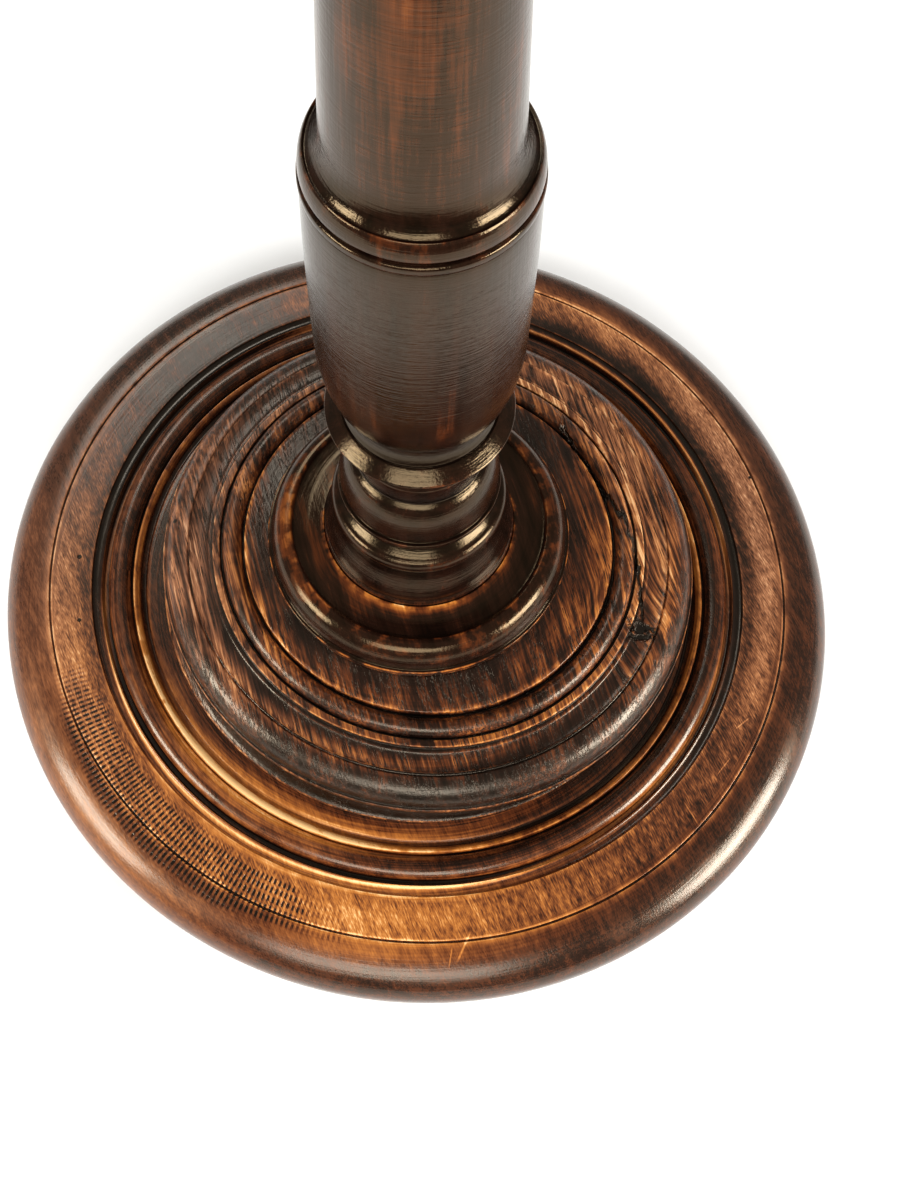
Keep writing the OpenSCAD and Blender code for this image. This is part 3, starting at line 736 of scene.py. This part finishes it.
shaft_r, shaft_top_r, shoulder_z = 22.1, 16.5, 482.0
lip_r, sweep_z = 27.4, 272.4
up = np.linspace(0.0, 1.0, 25)
sweep_r = shaft_top_r + (shaft_r - shaft_top_r) * (1 - up) ** 2
sweep = np.column_stack([sweep_r, sweep_z + (shoulder_z - sweep_z) * up])
shaft = turned(
    "upper_shaft_turned",
    [
        [(0.0, 224.6), (11.5, 224.6), (12.5, 225.6), (12.5, collar_z)],
        [(lip_r - 0.8, collar_z), (lip_r - 0.8, collar_z + 0.8)],
        arc(lip_r - 1.9, collar_z + 0.8, 1.9, 6.0, 5, 75),
        arc(26.56, sweep_z, 26.56 - shaft_r, 10.0, 255, 180),
        sweep,
        [(9.5, shoulder_z), (9.5, shoulder_z + 23)],
        [(8.5, shoulder_z + 24), (0.0, shoulder_z + 24)],
    ],
    around=192,
    step=3.0,
    rest=0.17,
    tall=True,
    spots=[(-100, 60, 330, 60, 0.10)],
)
shaft.data.materials.append(stem_stain)
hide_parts("upper_shaft")
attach(shaft, "root")

# ---------------------------------------------------------------------------------------------
# Capital. A short turned top for the shaft: ring, swelling, and a flare that carries the pan. It
# is bored from both ends for the shaft's tenon and the cup's.

capital_wide_r, pan_z = 28.32, 542.0
swell_z, flare_z = 503.6, 518.0
capital = turned(
    "capital_turned",
    [
        [(9.65, shoulder_z), (shaft_top_r, shoulder_z), (shaft_top_r, shoulder_z + 1)],
        arc(shaft_top_r + 1, shoulder_z + 5, 4, 4, -90, 90),
        [(shaft_top_r, shoulder_z + 9), (shaft_top_r, shoulder_z + 11)],
        arc(shaft_top_r + 0.5, swell_z + 2, 6, swell_z - shoulder_z - 9, -80, 75),
        [(17.5, flare_z), (18.9, flare_z), (18.9, flare_z + 2)],
        arc(capital_wide_r, flare_z + 3, capital_wide_r - 17.9, pan_z - flare_z - 6, 180, 90),
        [(29.12, pan_z - 3), (29.12, pan_z)],
        [(9.15, pan_z), (9.15, 523.0), (0.0, 523.0)],
        [(0.0, 507.0), (9.65, 507.0)],
    ],
    closed=True,
    around=192,
    step=2.0,
    rest=0.16,
    tall=True,
)
capital.data.materials.append(stem_stain)
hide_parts("capital")
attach(capital, "root")

# ---------------------------------------------------------------------------------------------
# Drip pan. A turned wooden saucer with a raised rim and a flat centre; it is gripped between the
# capital and the foot of the candle cup, whose tenon passes through it.

pan_r, pan_t = 59.0, 8.0
rim_z, pan_floor_z = 553.0, 546.0
pan = turned(
    "drip_pan_turned",
    [
        [(9.15, pan_z), (35.4, pan_z)],
        arc(35.4, rim_z - 4, 22.6, rim_z - 4 - pan_z, -90, 0),
        arc(pan_r - 2, rim_z - 2, 2, 2, -60, 150),
        arc(pan_r - 16, rim_z - 1, 12, 6, 0, -90),
        [(24.0, pan_floor_z), (22.0, pan_z + pan_t), (9.15, pan_z + pan_t)],
    ],
    closed=True,
    around=256,
    step=2.0,
    rest=0.15,
    spots=[(-60, 70, 45, 10, 0.12), (120, 60, 50, 8, 0.08)],
)
pan.data.materials.append(dark_wood("pan_stain", 0.9, False, 1.0))
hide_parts("drip_pan")
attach(pan, "root")

# ---------------------------------------------------------------------------------------------
# Candle cup. Turned like a small urn with its own tenon, which passes through the pan and is
# glued in the capital; its mouth is bored for the brass liner.

cup_z, cup_top_z = 550.0, 600.0
cup_r, waist_r = 23.0, 14.0
cup = turned(
    "candle_cup_turned",
    [
        [(0.0, 524.0), (8.0, 524.0), (9.0, 525.0), (9.0, cup_z), (cup_r - 3, cup_z)],
        arc(cup_r - 4, cup_z + 2.5, 2.5, 2.5, -60, 90),
        arc(waist_r + 3.4, cup_z + 9, 3.4, 4, 250, 110),
        arc(waist_r, cup_z + 25, cup_r - waist_r - 0.8, 11, -70, 60),
        ogee((cup_r - 5.2, cup_z + 35.5), (cup_r - 3.4, 593.8)),
        arc(cup_r - 3, 596.3, 2.5, 2.5, -80, 90),
        [(12.75, 598.8), (12.75, 568.3), (0.0, 568.3)],
    ],
    around=192,
    step=1.6,
    rest=0.14,
    tall=True,
    spots=[(-60, 90, 578, 8, 0.08)],
)
cup.data.materials.append(stem_stain)
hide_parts("candle_cup")
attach(cup, "root")

# ---------------------------------------------------------------------------------------------
# Cup liner. A spun brass sleeve with a closed bottom and a flange that lies on the cup's rim,
# browned with age and bright where candles rub its edge.

candle_r, liner_r, flange_r = 11.4, 12.6, 16.6


def aged_brass():
    """Brown-gold brass: tarnish in soft clouds, spinning rings, bright edges."""
    m = Finish("aged_brass")
    cloud = m.fibres((0.005, 0.005, 0.005), detail=4.0)
    rings = m.tool_marks(0.00025)
    tarnish = m.span(m.add(cloud, m.times(m.kept("arris"), -0.4)), 0.30, 0.62)
    colour = m.blend(tarnish, (0.62, 0.40, 0.13, 1.0), (0.20, 0.11, 0.04, 1.0))
    m.shader.inputs["Metallic"].default_value = 1.0
    rough = m.add(m.span(tarnish, 0.0, 1.0, 0.22, 0.48), m.times(m.add(rings, -0.5), 0.10))
    return m.finish(colour, rough, rings, 0.00002, coat=0.0)


liner = turned(
    "cup_liner_spun",
    [
        [(0.0, 568.8), (liner_r, 568.8), (liner_r, 598.8), (flange_r, 598.8)],
        [(flange_r, 599.6), (flange_r - 0.4, cup_top_z), (candle_r, cup_top_z)],
        [(candle_r, 570.0), (0.0, 570.0)],
    ],
    around=160,
    step=1.5,
    ease=0.25,
)
liner.data.materials.append(aged_brass())
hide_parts("cup_liner")
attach(liner, "root")

# ---------------------------------------------------------------------------------------------
# Room: a plain pale floor with a painted shadow that turns it dark in front, soft window-like
# panels on both sides and a camera that looks down on the base from beside the stem.

floor_mesh = bpy.data.meshes.new("floor")
wide = 3.0
corners = [(-wide, -wide, 0), (wide, -wide, 0), (wide, wide, 0), (-wide, wide, 0)]
floor_mesh.from_pydata(corners, [], [(0, 1, 2, 3)])
floor = bpy.data.objects.new("floor", floor_mesh)
bpy.context.collection.objects.link(floor)
m = Finish("floor_paper")
paper = m.fibres((0.02, 0.02, 0.02), detail=3.0)
pale = m.ramp(paper, [(0.3, (0.92, 0.92, 0.915)), (0.7, (0.94, 0.94, 0.935))])
front = m.node("SeparateXYZ", {0: m.here}).outputs[1]
# Painted shadow: the floor darkens from 0.38 m to 0.55 m in front of the stem and stays dark beyond.
colour = m.blend(m.span(front, -0.55, -0.38, 1.0, 0.0), pale, (0.09, 0.07, 0.055, 1.0))
floor_mesh.materials.append(m.finish(colour, 0.9, paper, 0.00001, coat=0.0))

world = bpy.data.worlds.new("studio")
world.use_nodes = True
world.node_tree.nodes["Background"].inputs[0].default_value = (1.0, 0.985, 0.95, 1.0)
world.node_tree.nodes["Background"].inputs[1].default_value = 0.26
bpy.context.scene.world = world


def panel(name, place, aim, size, power, tint):
    """A soft rectangular light at `place` facing `aim`."""
    light = bpy.data.lights.new(name, "AREA")
    light.shape = "RECTANGLE"
    light.size, light.size_y = size
    light.energy = power
    light.color = tint
    lamp = bpy.data.objects.new(name, light)
    lamp.location = place
    lamp.rotation_euler = (Vector(aim) - Vector(place)).to_track_quat("-Z", "Y").to_euler()
    bpy.context.collection.objects.link(lamp)


panel("window_right", (1.35, -0.62, 0.58), (0.0, 0.0, 0.05), (0.75, 0.55), 29.0, (1.0, 0.98, 0.95))
panel("window_left", (-1.35, -0.55, 0.75), (0.0, 0.0, 0.10), (0.6, 0.6), 18.0, (1.0, 0.98, 0.93))
panel("room_front", (-0.2, -1.6, 1.4), (0.0, 0.0, 0.0), (1.4, 0.8), 24.0, (1.0, 1.0, 1.0))
panel("room_back", (-0.6, 1.3, 1.7), (0.0, 0.0, 0.0), (0.8, 0.6), 8.0, (0.95, 0.97, 1.0))

view = bpy.data.cameras.new("view")
view.lens = 40.5
view.sensor_width = 36.0
view.clip_start = 0.01
camera = bpy.data.objects.new("view", view)
camera.matrix_world = Matrix((
    (0.99969, -0.00890, -0.02347, 0.0),
    (-0.00048, 0.92802, -0.37253, -0.1989),
    (0.02509, 0.37242, 0.92772, 0.4955),
    (0.0, 0.0, 0.0, 1.0),
))
bpy.context.collection.objects.link(camera)
bpy.context.scene.camera = camera
bpy.context.scene.view_settings.view_transform = "Standard"
bpy.context.scene.view_settings.look = "Medium High Contrast"
